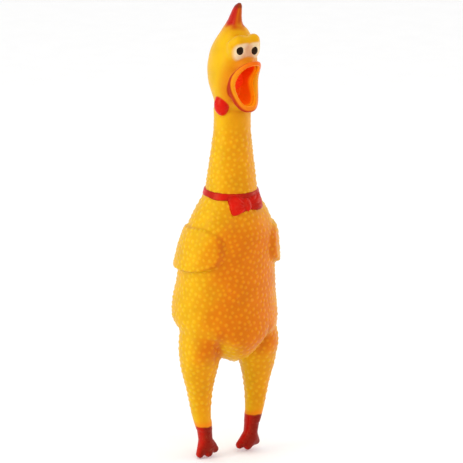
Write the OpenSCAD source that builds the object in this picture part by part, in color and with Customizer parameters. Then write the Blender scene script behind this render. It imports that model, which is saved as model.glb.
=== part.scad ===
// Squeaking rubber chicken: a hollow vinyl skin with a reed whistle pressed into its throat.
// It hangs upright and faces -Y, and it is symmetric about X = 0. Heights below are measured
// from the toes; grip_frame() then puts the origin on the neck's axis, level with the place
// where a hand grips and squeezes the belly.

/* [Skin] */
// Wall thickness of the moulded vinyl
wall = 2.2; // [2.0:0.1:2.4]
// Gap round a piece that slides or swings
clearance = 0.4; // [0.3:0.1:0.5]

/* [Torso] */
// Greatest width of the belly
belly_w = 91; // [88:1:93]
// Greatest front-to-back depth of the belly
belly_d = 82; // [80:1:84]
// How far the rump sits behind the neck's axis
rump_back = 6; // [5:0.5:7]
// How far a folded wing stands out from the flank
wing_relief = 4; // [3.5:0.5:4.5]

/* [Neck] */
// Width of the neck at the collar
neck_base_w = 44; // [43:0.5:45]
// Width of the neck just under the head
neck_top_w = 30; // [29:0.5:31]
// Height of the collar's middle above the toes
collar_z = 230; // [229.5:0.5:230.5]
// Height of the collar band
collar_h = 5.6; // [5:0.2:6]

/* [Head] */
// Width of the skull
skull_w = 39; // [38:0.5:40]
// Front-to-back depth of the skull
skull_d = 48; // [47:0.5:49]
// Width of the open beak at its corners
beak_w = 30; // [29:0.5:31]
// Height of the open beak from tip to tip
beak_h = 42; // [41:0.5:43]
// Height of the comb's tip above the toes
comb_tip_z = 390; // [388:1:391]

/* [Legs] */
// Distance between the two thighs' axes
thigh_gap = 57.4; // [56:0.2:58]
// Distance between the two ankles' axes
ankle_gap = 48; // [47:0.5:49]
// Width of the ankle
ankle_w = 12.8; // [12.4:0.2:13.2]

/* [Squeeze panel] */
// Width of the flat middle of the squeeze panel
panel_w = 20; // [18:1:22]
// Height of the flat middle of the squeeze panel
panel_h = 32; // [30:1:34]
// Width of the soft margin that folds round the panel
margin = 13; // [12:0.5:14]

/* [Whistle] */
// Outside diameter of the whistle's tube
tube_d = 15; // [14.6:0.2:15.2]
// Length of the whistle's tube
tube_l = 19; // [18:0.5:19]
// Thickness of the reed
reed_t = 0.4; // [0.3:0.1:0.5]

/* [Hidden] */
sides = 24;
round_sides = 48;
fine = 4;
past = 1;
hair = 0.02;
neck_r = neck_base_w / 2;
throat_r = neck_top_w / 2;
belly_rx = belly_w / 2;
belly_ry = belly_d / 2;
skull_rx = skull_w / 2;
skull_ry = skull_d / 2;
beak_rx = beak_w / 2;
beak_rz = beak_h / 2;
thigh_x = thigh_gap / 2;
ankle_x = ankle_gap / 2;
ankle_r = ankle_w / 2;

// Heights where the skin is divided: a short soft band bends at each joint.
paint_z = 25;
ankle_band = [25, 33];
knee_band = [46, 56];
hip_band = [69, 81];
neck_base_band = [collar_z + 4, collar_z + 17];
neck_mid_band = [collar_z + 27, collar_z + 38];
neck_top_band = [collar_z + 48, collar_z + 60];
comb_band = [370.5, 375];
panel_z = 129;
beak_z = 325.5;
eye_z = 354.5;
eye_x = 7.2;
pupil_rx = 2.5;
pupil_rz = 3.7;

// Stations of a limb: height, half width, half depth, centre x, centre y.
torso_line = [
    [81, 5, 6, 0, -7],
    [84, 12, 15, 0, -5],
    [90, 20, 24, 0, -3],
    [99, 31, 33, 0, 0],
    [110, belly_rx - 3, belly_ry - 2, 0, rump_back - 3],
    [124, belly_rx, belly_ry, 0, rump_back],
    [145, belly_rx - 2, belly_ry - 2, 0, rump_back],
    [165, belly_rx - 4, belly_ry - 4, 0, rump_back - 1],
    [184, belly_rx - 6, belly_ry - 6, 0, 2.5],
    [199, belly_rx - 10, belly_ry - 9, 0, 0.5],
    [212, belly_rx - 16, belly_ry - 13, 0, 0],
    [221, neck_r + 3.6, neck_r + 3, 0, 0],
    [collar_z, neck_r, neck_r, 0, 0],
    [collar_z + 18, neck_r - 2.4, neck_r - 2.4, 0, 0],
    [collar_z + 40, throat_r + 1.8, throat_r + 1.8, 0, 0],
    [collar_z + 60, throat_r, throat_r, 0, 0]];

head_line = [
    [collar_z + 60, throat_r, throat_r, 0, 0],
    [300, throat_r + 0.5, throat_r + 2, 0, 0.5],
    [310, skull_rx - 2.5, skull_ry - 4, 0, 1],
    [322, skull_rx - 0.5, skull_ry - 0.7, 0, 1.2],
    [334, skull_rx, skull_ry, 0, 1.2],
    [347, skull_rx - 0.5, skull_ry - 0.8, 0, 0],
    [358, skull_rx - 3, skull_ry - 4, 0, -2],
    [366, skull_rx - 7.5, skull_ry - 9, 0, -3.2],
    [370.5, 7.5, 10, 0, -3.6]];

comb_line = [
    [370.5, 6, 9, 0, -3.6],
    [375, 4.8, 7.5, 0, -4.4],
    [381, 3.8, 5.4, 0, -6],
    [386, 2.9, 3.8, 0, -7.6],
    [comb_tip_z - 1, 1.8, 2.1, 0, -9],
    [comb_tip_z, 0.9, 1, 0, -9.4]];

leg_line = [
    [paint_z, ankle_r, ankle_r + 0.2, ankle_x, -1],
    [29, ankle_r + 0.6, ankle_r + 0.8, ankle_x + 1, -0.8],
    [38, 8.1, 8.3, 26.5, -0.3],
    [47, 9, 9.3, 27.4, 0],
    [56, 10.2, 10.5, 28, 0.3],
    [65, 12, 12.2, thigh_x - 0.3, 0.8],
    [74, 14.3, 14.5, thigh_x, 1.5],
    [84, 16.6, 17, thigh_x, 2.5],
    [96, 17.5, 20, thigh_x - 0.2, 3.5],
    [108, 16.5, 20, thigh_x - 0.7, 4],
    [120, 14, 17, thigh_x - 1.7, 4]];

// ---- Smooth lines through stations, and rings of points round them ----

function catmull(p, t) = 0.5 * (2 * p[1] + (p[2] - p[0]) * t
    + (2 * p[0] - 5 * p[1] + 4 * p[2] - p[3]) * t * t
    + (3 * p[1] - p[0] - 3 * p[2] + p[3]) * t * t * t);

function near(list, i) = list[max(0, min(len(list) - 1, i))];

function smooth(list, n) = concat(
    [for (i = [0:len(list) - 2]) for (k = [0:n - 1])
        catmull([for (d = [-1:2]) near(list, i + d)], k / n)],
    [list[len(list) - 1]]);

function value(line, z, k) = lookup(z, [for (s = line) [s[0], s[k]]]);

function station(line, z, inset) = [z, value(line, z, 1) - inset,
    value(line, z, 2) - inset, value(line, z, 3), value(line, z, 4)];

function slices(line, z0, z1, step, inset = 0) =
    let (n = max(1, ceil((z1 - z0) / step - 0.01)))
    [for (i = [0:n]) station(line, z0 + (z1 - z0) * i / n, inset)];

function ring(s) = [for (i = [0:sides - 1]) let (a = 360 * i / sides)
    [s[3] + s[1] * cos(a), s[4] + s[2] * sin(a), s[0]]];

function rings(list) = [for (s = list) ring(s)];

function flat(list) = [for (r = list) for (p = r) p];

// Triangles of the wall between rings first..first + count - 1 of n points each.
function wall_faces(first, count, n, inward) = [
    for (j = [first:first + count - 2]) for (i = [0:n - 1])
        let (a = j * n + i, b = j * n + (i + 1) % n, c = a + n, d = b + n)
        for (f = inward ? [[a, b, d], [a, d, c]] : [[a, d, b], [a, c, d]]) f];

function cap_face(j, n, up) = [for (i = [0:n - 1]) j * n + (up ? n - 1 - i : i)];

// Triangles of the flat rim that joins ring j to ring k.
function rim_faces(j, k, n, up) = [for (i = [0:n - 1])
    let (a = j * n + i, b = j * n + (i + 1) % n, c = k * n + i, d = k * n + (i + 1) % n)
    for (f = up ? [[a, c, d], [a, d, b]] : [[a, d, c], [a, b, d]]) f];

// Closed solid through rings that run upwards.
module loft(list) {
    n = len(list[0]);
    polyhedron(points = flat(list), faces = concat(
        wall_faces(0, len(list), n, false),
        [cap_face(0, n, false), cap_face(len(list) - 1, n, true)]));
}

// Hollow solid between outer rings and inner rings, open or closed at each end.
module hollow(outer, inner, closed_low = false, closed_high = false) {
    n = len(outer[0]);
    m = len(outer);
    k = len(inner);
    polyhedron(points = flat(concat(outer, inner)), faces = concat(
        wall_faces(0, m, n, false),
        wall_faces(m, k, n, true),
        closed_low ? [cap_face(0, n, false), cap_face(m, n, true)]
            : rim_faces(0, m, n, false),
        closed_high ? [cap_face(m - 1, n, true), cap_face(m + k - 1, n, false)]
            : rim_faces(m - 1, m + k - 1, n, true)));
}

// One length of hollow limb between two heights.
module limb(line, band, step) {
    hollow(rings(slices(line, band[0], band[1], step)),
        rings(slices(line, band[0], band[1], step, wall)));
}

module mirror_left() {
    mirror([1, 0, 0]) children();
}

// ---- Torso ----

body_line = smooth(torso_line, fine);
limb_line = smooth(leg_line, fine);
skull_line = smooth(head_line, fine);
crest_line = smooth(comb_line, fine);
belly_floor = torso_line[0][0];
belly_top = neck_base_band[0];

module torso_solid() {
    loft(rings(slices(body_line, belly_floor, belly_top, 7)));
}

module torso_shell() {
    hollow(rings(slices(body_line, belly_floor, belly_top, 7)),
        rings(slices(body_line, belly_floor + wall, belly_top, 7, wall)), true);
}

// Eight-sided window in the belly's front, grown by a margin on every side.
module window(grow) {
    w = panel_w / 2 + grow;
    h = panel_h / 2 + grow;
    translate([0, 0, panel_z]) rotate([90, 0, 0])
        linear_extrude(height = 60) polygon([
            [-w, -h + grow], [-w + grow, -h], [w - grow, -h], [w, -h + grow],
            [w, h - grow], [w - grow, h], [-w + grow, h], [-w, h - grow]]);
}

module torso_skin() {
    color("gold") difference() {
        torso_shell();
        window(margin);
    }
}

module belly_flex() {
    color("orange") intersection() {
        torso_shell();
        difference() {
            window(margin);
            window(clearance);
        }
    }
}

module belly_panel() {
    color("gold") intersection() {
        torso_shell();
        window(hair / 2);
    }
}

collar_t = 1.6;

module collar_band() {
    z0 = collar_z - collar_h / 2;
    z1 = collar_z + collar_h / 2;
    color("red") difference() {
        loft(rings(slices(body_line, z0, z1, 3, -collar_t)));
        torso_solid();
    }
}

// Bow tie under the collar: two puffed loops and a knot, flat where they lie on the chest.
bow_z = collar_z - 10;
bow_out = 5.4;
bow_lean = 20;
bow_flat_y = 1.4;
knot_r = 4;
knot_w = 6.4;
bow_loop = [[2, 3.2, 2.4], [5, 4.6, 3.2], [9, 6.2, 3.6], [13, 6.8, 3], [15.5, 6, 1.6]];

module bow_side() {
    loft([for (s = smooth(bow_loop, 2)) [for (i = [0:sides - 1]) let (a = 360 * i / sides)
        [s[0], s[2] * cos(a), s[1] * sin(a)]]]);
}

module bow() {
    color("red") translate([0, -neck_r - bow_out, bow_z]) rotate([-bow_lean, 0, 0]) difference() {
        union() {
            bow_side();
            mirror_left() bow_side();
            rotate([0, 90, 0]) cylinder(r = knot_r, h = knot_w, center = true, $fn = 32);
        }
        translate([-20, bow_flat_y, -12]) cube([40, 12, 24]);
    }
}

// A folded wing: a long rounded pad on the flank, deepest at its lower end.
wing_line = [
    [158, 3, 8, 0, 4],
    [160, 7, 16, 0, 3],
    [166, 11, 24, 0, 1],
    [176, 12, 26, 0, -1],
    [188, 11, 24, 0, -1],
    [198, 8, 17, 0, 0],
    [206, 3, 7, 0, 1]];

module wing_pad() {
    pad = smooth(wing_line, 2);
    loft([for (s = pad)
        let (x = value(body_line, s[0], 1) + wing_relief - s[1],
            y = value(body_line, s[0], 4))
        ring([s[0], s[1], s[2], -x, y + s[4]])]);
}

module right_wing() {
    color("gold") difference() {
        wing_pad();
        torso_solid();
    }
}

module left_wing() {
    mirror_left() right_wing();
}

// ---- Neck and head ----

module neck_base_flex() {
    color("orange") limb(body_line, neck_base_band, 7);
}

module neck_lower_skin() {
    color("gold") limb(body_line, [neck_base_band[1], neck_mid_band[0]], 10);
}

module neck_mid_flex() {
    color("orange") limb(body_line, neck_mid_band, 6);
}

module neck_upper_skin() {
    color("gold") limb(body_line, [neck_mid_band[1], neck_top_band[0]], 10);
}

module neck_top_flex() {
    color("orange") limb(body_line, neck_top_band, 6);
}

// Ring of the open beak at a share k of its size, pushed back by d. The tips reach further out.
beak_corner_y = -19;
beak_upper_reach = 12;
beak_lower_reach = 6;
function beak_point(a, k, grow, back) =
    let (s = sin(a), reach = (s > 0 ? beak_upper_reach : beak_lower_reach) * s * s)
    [(beak_rx * k + grow) * cos(a), beak_corner_y - reach + back,
        beak_z + (beak_rz * k + grow) * s];
function beak_ring(k, grow, back) = [for (i = [0:sides - 1])
    beak_point(360 * i / sides, k, grow, back)];
function plain_ring(rx, rz, y) = [for (i = [0:sides - 1]) let (a = 360 * i / sides)
    [rx * cos(a), y, beak_z + rz * sin(a)]];

lip_share = 0.84;
lip_front = 1.5;
cup_back_y = -3.5;
sleeve_r = tube_d / 2;
sleeve_l = 9;

// Rings of the open mouth's wall, from the throat forwards to a distance behind the lips.
function mouth_rings(grow, front) = [
    plain_ring(sleeve_r + grow, sleeve_r + grow, cup_back_y),
    plain_ring(sleeve_r + 2 + grow, sleeve_r + 5 + grow, cup_back_y - 4),
    plain_ring(sleeve_r + 4 + grow, sleeve_r + 8.5 + grow, cup_back_y - 9),
    beak_ring(lip_share, grow, front)];

module mouth_space(grow) {
    loft(concat(mouth_rings(grow, lip_front), [beak_ring(lip_share, grow, -12)]));
}

// The beak's funnel, from the skull forwards to the lips.
module beak_funnel() {
    loft([plain_ring(beak_rx, beak_rz - 6, 0),
        plain_ring(beak_rx + 1, beak_rz - 2, -9),
        beak_ring(1, 0, 4),
        beak_ring(1, 0, lip_front)]);
}

module head_solid() {
    union() {
        loft(rings(slices(skull_line, neck_top_band[1], comb_band[0], 6)));
        beak_funnel();
    }
}

module head_skin() {
    color("gold") difference() {
        head_solid();
        rim_solid();
        difference() {
            loft(rings(slices(skull_line, neck_top_band[1] - 1, comb_band[0] - wall, 6, wall)));
            mouth_space(wall);
        }
        mouth_space(wall);
    }
}

module mouth_lining() {
    color("orangered") difference() {
        hollow(mouth_rings(wall - hair, lip_front), mouth_rings(0, lip_front));
        rim_solid();
    }
}

// Soft collar at the back of the mouth that grips the whistle.
module throat_sleeve() {
    color("orangered") on_throat() difference() {
        cylinder(r = sleeve_r + wall, h = sleeve_l, $fn = round_sides);
        translate([0, 0, -past]) cylinder(r = sleeve_r, h = sleeve_l + 2 * past, $fn = round_sides);
    }
}

// Rolled edge of the beak.
rim_r = 2.2;
rim_share = 0.93;
rim_back = 1.2;
rim_sides = 12;

module rim_solid() {
    loft_loop([for (i = [0:sides - 1])
        let (a = 360 * i / sides, c = beak_point(a, rim_share, 0, rim_back))
        [for (j = [0:rim_sides - 1]) let (b = 360 * j / rim_sides)
            c + rim_r * [cos(b) * cos(a), sin(b), cos(b) * sin(a)]]]);
}

module beak_rim() {
    color("darkorange") rim_solid();
}

// Closed loop of rings, such as the rolled edge of the beak.
module loft_loop(list) {
    m = len(list);
    n = len(list[0]);
    polyhedron(points = flat(list), faces = [
        for (j = [0:m - 1]) for (i = [0:n - 1])
            let (a = j * n + i, b = j * n + (i + 1) % n,
                c = ((j + 1) % m) * n + i, d = ((j + 1) % m) * n + (i + 1) % n)
            for (f = [[a, d, b], [a, c, d]]) f]);
}

module comb_flex() {
    color("orange") limb(crest_line, comb_band, 3);
}

module comb() {
    color("red") loft(rings(slices(crest_line, comb_band[1], comb_tip_z, 3)));
}

// Two shallow domes that meet between the eyes.
eye_r = 9.6;
eye_y = -12.4;
pupil_t = 0.5;
pupil_in = 0.3;
module right_eye_white() {
    color("bisque") difference() {
        translate([-eye_x, eye_y, eye_z]) sphere(r = eye_r, $fn = round_sides);
        translate([0, eye_y - 2 * eye_r, eye_z - 2 * eye_r]) cube(4 * eye_r);
        head_solid();
    }
}

module left_eye_white() {
    mirror_left() right_eye_white();
}

module right_pupil() {
    color("black") intersection() {
        difference() {
            translate([-eye_x, eye_y, eye_z]) sphere(r = eye_r + pupil_t, $fn = round_sides);
            translate([-eye_x, eye_y, eye_z]) sphere(r = eye_r, $fn = round_sides);
            head_solid();
        }
        translate([-eye_x + pupil_in, eye_y - 2 * eye_r, eye_z]) rotate([-90, 0, 0])
            linear_extrude(height = 2 * eye_r) polygon([for (a = [0:15:345])
                [pupil_rx * cos(a), pupil_rz * sin(a)]]);
    }
}

module left_pupil() {
    mirror_left() right_pupil();
}

// Wattle: a thick oval drop that stands out from the side of the throat.
wattle_at = [-12, -8, 303.5];
wattle_turn = [0, 78, 215];
wattle_rz = 8.4;
wattle_ry = 6;
wattle_steps = [[-1, 1], [2, 1], [4.4, 0.86], [5.6, 0.5]];

module right_wattle() {
    color("red") difference() {
        translate(wattle_at) rotate(wattle_turn)
            loft([for (s = wattle_steps)
                [for (i = [0:sides - 1]) let (a = 360 * i / sides)
                    [wattle_rz * s[1] * cos(a), wattle_ry * s[1] * sin(a), s[0]]]]);
        head_solid();
    }
}

module left_wattle() {
    mirror_left() right_wattle();
}

// ---- Legs ----

right_line = [for (s = limb_line) [s[0], s[1], s[2], -s[3], s[4]]];

module right_thigh_skin() {
    color("gold") difference() {
        limb(right_line, [hip_band[1], 112], 6);
        torso_solid();
    }
}

module right_hip_flex() {
    color("orange") limb(right_line, hip_band, 6);
}

module right_leg_skin() {
    color("gold") limb(right_line, [knee_band[1], hip_band[0]], 6.5);
}

module right_knee_flex() {
    color("orange") limb(right_line, knee_band, 5);
}

module right_shank_skin() {
    color("gold") limb(right_line, [ankle_band[1], knee_band[0]], 6.5);
}

module right_ankle_flex() {
    color("orange") limb(right_line, ankle_band, 4);
}

toe_spread = 8;
toe_r = 3.4;
toe_fwd = 5;
toe_root_r = 5;
toe_root_z = 15;
foot_in = 2;

module toe(x, z) {
    hull() {
        translate([x / 4, 0, toe_root_z]) sphere(r = toe_root_r, $fn = 18);
        translate([x, -toe_fwd, z + toe_r]) sphere(r = toe_r, $fn = 18);
    }
}

// Red foot below the paint line: a hollow ankle that runs into three blunt toes.
module right_foot() {
    color("red") translate([-ankle_x, -1, 0]) difference() {
        union() {
            cylinder(r = ankle_r, h = paint_z, $fn = 32);
            translate([foot_in, 0, 0])
                for (t = [[-1, 0], [0, 0], [1, 2]]) toe(t[0] * toe_spread, t[1]);
        }
        translate([0, 0, toe_root_z - 3]) cylinder(r = ankle_r - wall, h = paint_z, $fn = 32);
    }
}

module left_thigh_skin() {
    mirror_left() right_thigh_skin();
}

module left_hip_flex() {
    mirror_left() right_hip_flex();
}

module left_leg_skin() {
    mirror_left() right_leg_skin();
}

module left_knee_flex() {
    mirror_left() right_knee_flex();
}

module left_shank_skin() {
    mirror_left() right_shank_skin();
}

module left_ankle_flex() {
    mirror_left() right_ankle_flex();
}

module left_foot() {
    mirror_left() right_foot();
}

// ---- Whistle ----

module on_throat() {
    translate([0, cup_back_y, beak_z]) rotate([-90, 0, 0]) children();
}

tube_r = tube_d / 2;
tube_wall = 1.2;
block_r = tube_r - tube_wall;
block_l = 13;
vent_count = 6;
vent_r = 1.1;
vent_ring_r = 4;
groove_w = 3.2;
groove_depth = 3.4;
groove_start = 3;
reed_w = 5;
reed_gap = 0.12;
reed_start = 0.8;
wedge_l = 3.6;
facing_start = 4;
facing_drop = 1;
facing_gap = 0.1;

module whistle_tube() {
    color("tomato") on_throat() difference() {
        cylinder(r = tube_r, h = tube_l, $fn = round_sides);
        translate([0, 0, -past]) cylinder(r = block_r, h = tube_l + 2 * past, $fn = round_sides);
    }
}

// End of the whistle with its ring of air vents.
module whistle_cap() {
    color("tomato") on_throat() translate([0, 0, tube_l]) difference() {
        cylinder(r = tube_r, h = tube_wall, $fn = round_sides);
        for (i = [0:vent_count - 1]) rotate([0, 0, i * 360 / vent_count])
            translate([vent_ring_r, 0, -past])
                cylinder(r = vent_r, h = tube_wall + 2 * past, $fn = 24);
    }
}

// Half-round block with a groove for the air and a facing that slopes away from the reed.
module reed_block() {
    color("tomato") on_throat() difference() {
        cylinder(r = block_r, h = block_l, $fn = round_sides);
        translate([-block_r - past, 0, -past])
            cube([2 * (block_r + past), block_r + past, block_l + 2 * past]);
        translate([-groove_w / 2, -groove_depth, groove_start])
            cube([groove_w, groove_depth + past, block_l]);
        translate([-block_r - past, 0, 0]) rotate([0, 90, 0])
            linear_extrude(height = 2 * (block_r + past)) polygon([
                [-facing_start, facing_gap], [-block_l - past, facing_gap],
                [-block_l - past, -facing_drop]]);
    }
}

// Thin tongue that flutters over the groove.
module reed() {
    color("orange") on_throat() translate([-reed_w / 2, reed_gap, reed_start])
        cube([reed_w, reed_t, block_l - 2 * reed_start]);
}

// Wedge that holds the reed's root against the block.
module reed_wedge() {
    color("tomato") on_throat() difference() {
        cylinder(r = block_r, h = wedge_l, $fn = round_sides);
        translate([-block_r - past, -block_r - past, -past])
            cube([2 * (block_r + past), block_r + past + reed_t + 2 * reed_gap, wedge_l + 2 * past]);
    }
}

module grip_frame() {
    translate([0, 0, -panel_z]) children();
}

grip_frame() torso_skin();
grip_frame() collar_band();
grip_frame() bow();
grip_frame() belly_flex();
grip_frame() belly_panel();
grip_frame() neck_base_flex();
grip_frame() neck_lower_skin();
grip_frame() neck_mid_flex();
grip_frame() neck_upper_skin();
grip_frame() neck_top_flex();
grip_frame() head_skin();
grip_frame() comb_flex();
grip_frame() comb();
grip_frame() beak_rim();
grip_frame() mouth_lining();
grip_frame() throat_sleeve();
grip_frame() right_eye_white();
grip_frame() left_eye_white();
grip_frame() right_pupil();
grip_frame() left_pupil();
grip_frame() right_wattle();
grip_frame() left_wattle();
grip_frame() right_wing();
grip_frame() left_wing();
grip_frame() right_thigh_skin();
grip_frame() left_thigh_skin();
grip_frame() right_hip_flex();
grip_frame() left_hip_flex();
grip_frame() right_leg_skin();
grip_frame() left_leg_skin();
grip_frame() right_knee_flex();
grip_frame() left_knee_flex();
grip_frame() right_shank_skin();
grip_frame() left_shank_skin();
grip_frame() right_ankle_flex();
grip_frame() left_ankle_flex();
grip_frame() right_foot();
grip_frame() left_foot();
grip_frame() whistle_tube();
grip_frame() whistle_cap();
grip_frame() reed_block();
grip_frame() reed_wedge();
grip_frame() reed();
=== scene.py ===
"""Squeaking rubber chicken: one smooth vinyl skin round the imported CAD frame, cut where it bends."""
import math

import bpy
import numpy as np
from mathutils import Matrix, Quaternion, Vector
from mathutils.kdtree import KDTree


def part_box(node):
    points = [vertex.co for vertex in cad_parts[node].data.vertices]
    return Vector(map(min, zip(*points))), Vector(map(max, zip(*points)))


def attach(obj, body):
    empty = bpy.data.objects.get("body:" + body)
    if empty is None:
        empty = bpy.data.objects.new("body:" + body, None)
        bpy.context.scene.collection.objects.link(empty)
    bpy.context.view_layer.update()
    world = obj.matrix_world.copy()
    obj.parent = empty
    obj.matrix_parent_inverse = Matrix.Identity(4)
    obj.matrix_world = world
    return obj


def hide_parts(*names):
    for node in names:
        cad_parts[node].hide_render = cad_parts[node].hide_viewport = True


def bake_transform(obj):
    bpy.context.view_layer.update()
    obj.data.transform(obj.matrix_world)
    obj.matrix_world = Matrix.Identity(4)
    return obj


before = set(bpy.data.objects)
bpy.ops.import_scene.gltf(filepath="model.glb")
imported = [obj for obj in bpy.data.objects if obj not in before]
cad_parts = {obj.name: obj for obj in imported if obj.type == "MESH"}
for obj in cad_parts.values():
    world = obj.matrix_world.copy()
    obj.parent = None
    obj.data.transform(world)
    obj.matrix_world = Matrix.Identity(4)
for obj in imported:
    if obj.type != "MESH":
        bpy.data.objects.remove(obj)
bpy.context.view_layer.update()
rng = np.random.default_rng(7)

MM = 0.001
TOE_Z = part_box("right_foot")[0].z


# ---------------------------------------------------------------- frame and measures

def row(p):
    """Points in mm, with heights above the toes, in the row frame's metres."""
    return np.asarray(p, float) * MM + np.array([0, 0, TOE_Z])


def cad(node):
    """Lowest and highest corner of a CAD node, in mm, with heights above the toes."""
    return [(np.array(c) - np.array([0, 0, TOE_Z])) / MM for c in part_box(node)]


def smoothstep(t):
    t = np.clip(t, 0, 1)
    return t * t * (3 - 2 * t)


def ramp(v, start, end):
    return smoothstep((v - start) / (end - start))


COLLAR_LOW, COLLAR_TOP = (c[2] for c in cad("collar_band"))
PAINT_Z = cad("right_foot")[1][2]
COMB_TIP = cad("comb")[1][2]
BEAK_Z = float(np.mean([c[2] for c in cad("throat_sleeve")]))
CUP_BACK_Y = cad("throat_sleeve")[0][1]
TUBE_R = cad("whistle_tube")[1][0]
WHISTLE_END = cad("whistle_cap")[1][1]
PANEL_Z = float(np.mean([c[2] for c in cad("belly_panel")]))
ANKLE_X = 24.0
THIGH_X = 28.7
FURROW_X = 22.0
FURROW_W = 4.0
PAINT_LINE = {"right": PAINT_Z + 3.2, "left": PAINT_Z + 6.8}      # each foot was dipped to its own height
EYE = np.array([6.5, -15.0, 354.9])
PUPIL_X = 7.1
PUPIL_LIFT = {-1: 0.7, 1: -0.6}      # one eye dot is painted a little lower than the other

# Stations of a limb: height, half width, half depth, centre x, centre y.
TORSO = [(84.5, 4, 5, 0, -7), (87.5, 10.5, 13, 0, -6), (93, 16.5, 21.5, 0, -4.5), (99, 22.5, 28, 0, -2.5),
         (105.5, 32, 34, 0, 0.4), (112.5, 41.5, 38.6, 0, 4), (120, 45.6, 40.6, 0, 6.8),
         (131, 45.4, 40.4, 0, 8.2), (141, 44.2, 39.4, 0, 7.8), (150, 43, 38.2, 0, 6.6),
         (165, 41.8, 36.6, 0, 5.4), (184, 40.6, 34.8, 0, 2.8), (198, 38.2, 33, 0, 0.6),
         (212, 32.2, 29, 0, 0), (221, 26.8, 25.5, 0, 0), (230, 22.2, 22.2, 0, 0), (248, 19.7, 19.7, 0, 0),
         (270, 16.9, 16.9, 0, 0), (290, 14.9, 14.9, 0, 0), (300, 14.6, 14.8, 0, 0)]
SKULL = [(286, 13.5, 13.5, 0, 0), (300, 14.6, 15, 0, 0.4), (309, 15.0, 16.8, 0, 0.8),
         (316, 17, 20, 0, 1), (324, 18.8, 23, 0, 1.2), (335, 19.5, 24.2, 0, 1.2), (345, 18.9, 22.9, 0, 0.4),
         (352, 17.8, 21, 0, -0.3), (359, 15.5, 17.8, 0, -1.4), (366, 11.9, 13.8, 0, -2.3),
         (370, 9.4, 11, 0, -2), (374, 5, 7, 0, -1)]
COMB = [(366, 8, 10.5, 0, -1.2), (373, 6, 8.5, 0, -1.2), (380, 4.4, 6.6, 0, -2.8),
        (386, 3.4, 5.1, 0, -5), (390, 2.5, 3.7, 0, -7.0), (COMB_TIP + 2.4, 1.1, 1.4, 0, -8.6)]
LEG = [(25, 6.4, 6.6, ANKLE_X, -1), (29, 7, 7.2, ANKLE_X + 1, -0.8), (38, 8.1, 8.3, 26.5, -0.3),
       (47, 9, 9.3, 27.4, 0), (56, 10.2, 10.5, 28, 0.2), (65, 12, 12.2, THIGH_X - 0.3, 0.4),
       (74, 14.2, 14.4, THIGH_X, 0.6), (84, 16.3, 17, THIGH_X - 0.4, 0.8), (96, 17.8, 20, THIGH_X - 1, 0.2),
       (108, 16.8, 20.5, THIGH_X - 1.6, 1.2), (120, 13, 17, THIGH_X - 2.4, 3), (130, 8, 12, THIGH_X - 4, 6)]


# ---------------------------------------------------------------- distance fields, in mm

def dense(line, per=6):
    """A Catmull-Rom line through the stations."""
    s = np.array([line[0], *line, line[-1]], float)
    out = []
    for i in range(len(line) - 1):
        p0, p1, p2, p3 = s[i:i + 4]
        for t in np.arange(per) / per:
            out.append(0.5 * (2 * p1 + (p2 - p0) * t + (2 * p0 - 5 * p1 + 4 * p2 - p3) * t * t
                              + (3 * p1 - p0 - 3 * p2 + p3) * t ** 3))
    return np.array(out + [s[-1]])


def limb(p, line, axis=2):
    """Distance to a limb of elliptic sections whose stations run along one axis."""
    u, v = (a for a in range(3) if a != axis)
    z = np.clip(p[:, axis], line[0, 0], line[-1, 0])
    ru, rv, cu, cv = (np.interp(z, line[:, 0], line[:, k]) for k in range(1, 5))
    a, b = p[:, u] - cu, p[:, v] - cv
    q = np.sqrt((a / ru) ** 2 + (b / rv) ** 2)
    g = np.sqrt((a / ru ** 2) ** 2 + (b / rv ** 2) ** 2)
    d = np.where(q > 0.3, (q - 1) * q / (g + 1e-6), -0.7 * np.minimum(ru, rv))
    over = np.abs(p[:, axis] - z)
    return np.where(over > 0, np.hypot(np.maximum(d, 0), over), d)


def ellipsoid(p, centre, radii, turn=None):
    v = p - np.array(centre, float)
    if turn is not None:
        v = v @ turn
    r = np.array(radii, float)
    k0 = np.linalg.norm(v / r, axis=1)
    k1 = np.linalg.norm(v / r ** 2, axis=1)
    return k0 * (k0 - 1) / (k1 + 1e-9)


def capsule(p, a, b, ra, rb):
    a, b = np.array(a, float), np.array(b, float)
    ab = b - a
    t = np.clip((p - a) @ ab / (ab @ ab), 0, 1)
    return np.linalg.norm(p - a - t[:, None] * ab, axis=1) - (ra + (rb - ra) * t)


def join(a, b, k):
    """Smooth union: the two surfaces flow into each other over about k mm."""
    h = np.clip(0.5 + 0.5 * (b - a) / k, 0, 1)
    return b + (a - b) * h - k * h * (1 - h)


def common(a, b, k):
    return -join(-a, -b, k)


def carve(a, b, k):
    """a with b smoothly taken out of it."""
    return -join(-a, b, k)


def yaw(angle):
    """Turn about the upright axis, as a matrix for row vectors."""
    c, s = math.cos(angle), math.sin(angle)
    return np.array([[c, s, 0], [-s, c, 0], [0, 0, 1]])


def mirrored(p):
    """Both halves folded onto +X."""
    return np.column_stack([np.abs(p[:, 0]), p[:, 1], p[:, 2]])


BODY_LINE, SKULL_LINE, COMB_LINE, LEG_LINE = (dense(s) for s in (TORSO, SKULL, COMB, LEG))

# The open beak, round its own axis: its corners sit back and both tips reach forward.
BEAK_RX, BEAK_RZ_UP, BEAK_RZ_LOW = 13.8, 22.2, 22.4
CORNER_Y, UPPER_REACH, LOWER_REACH = -19.2, 15.4, 9.8
BEAK_SQUARE = 2.4       # 2 would be an ellipse, more is squarer
LIP_R = 2.7             # the lips are a soft roll of this radius
LIP_WIDTH = 5.4


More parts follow.
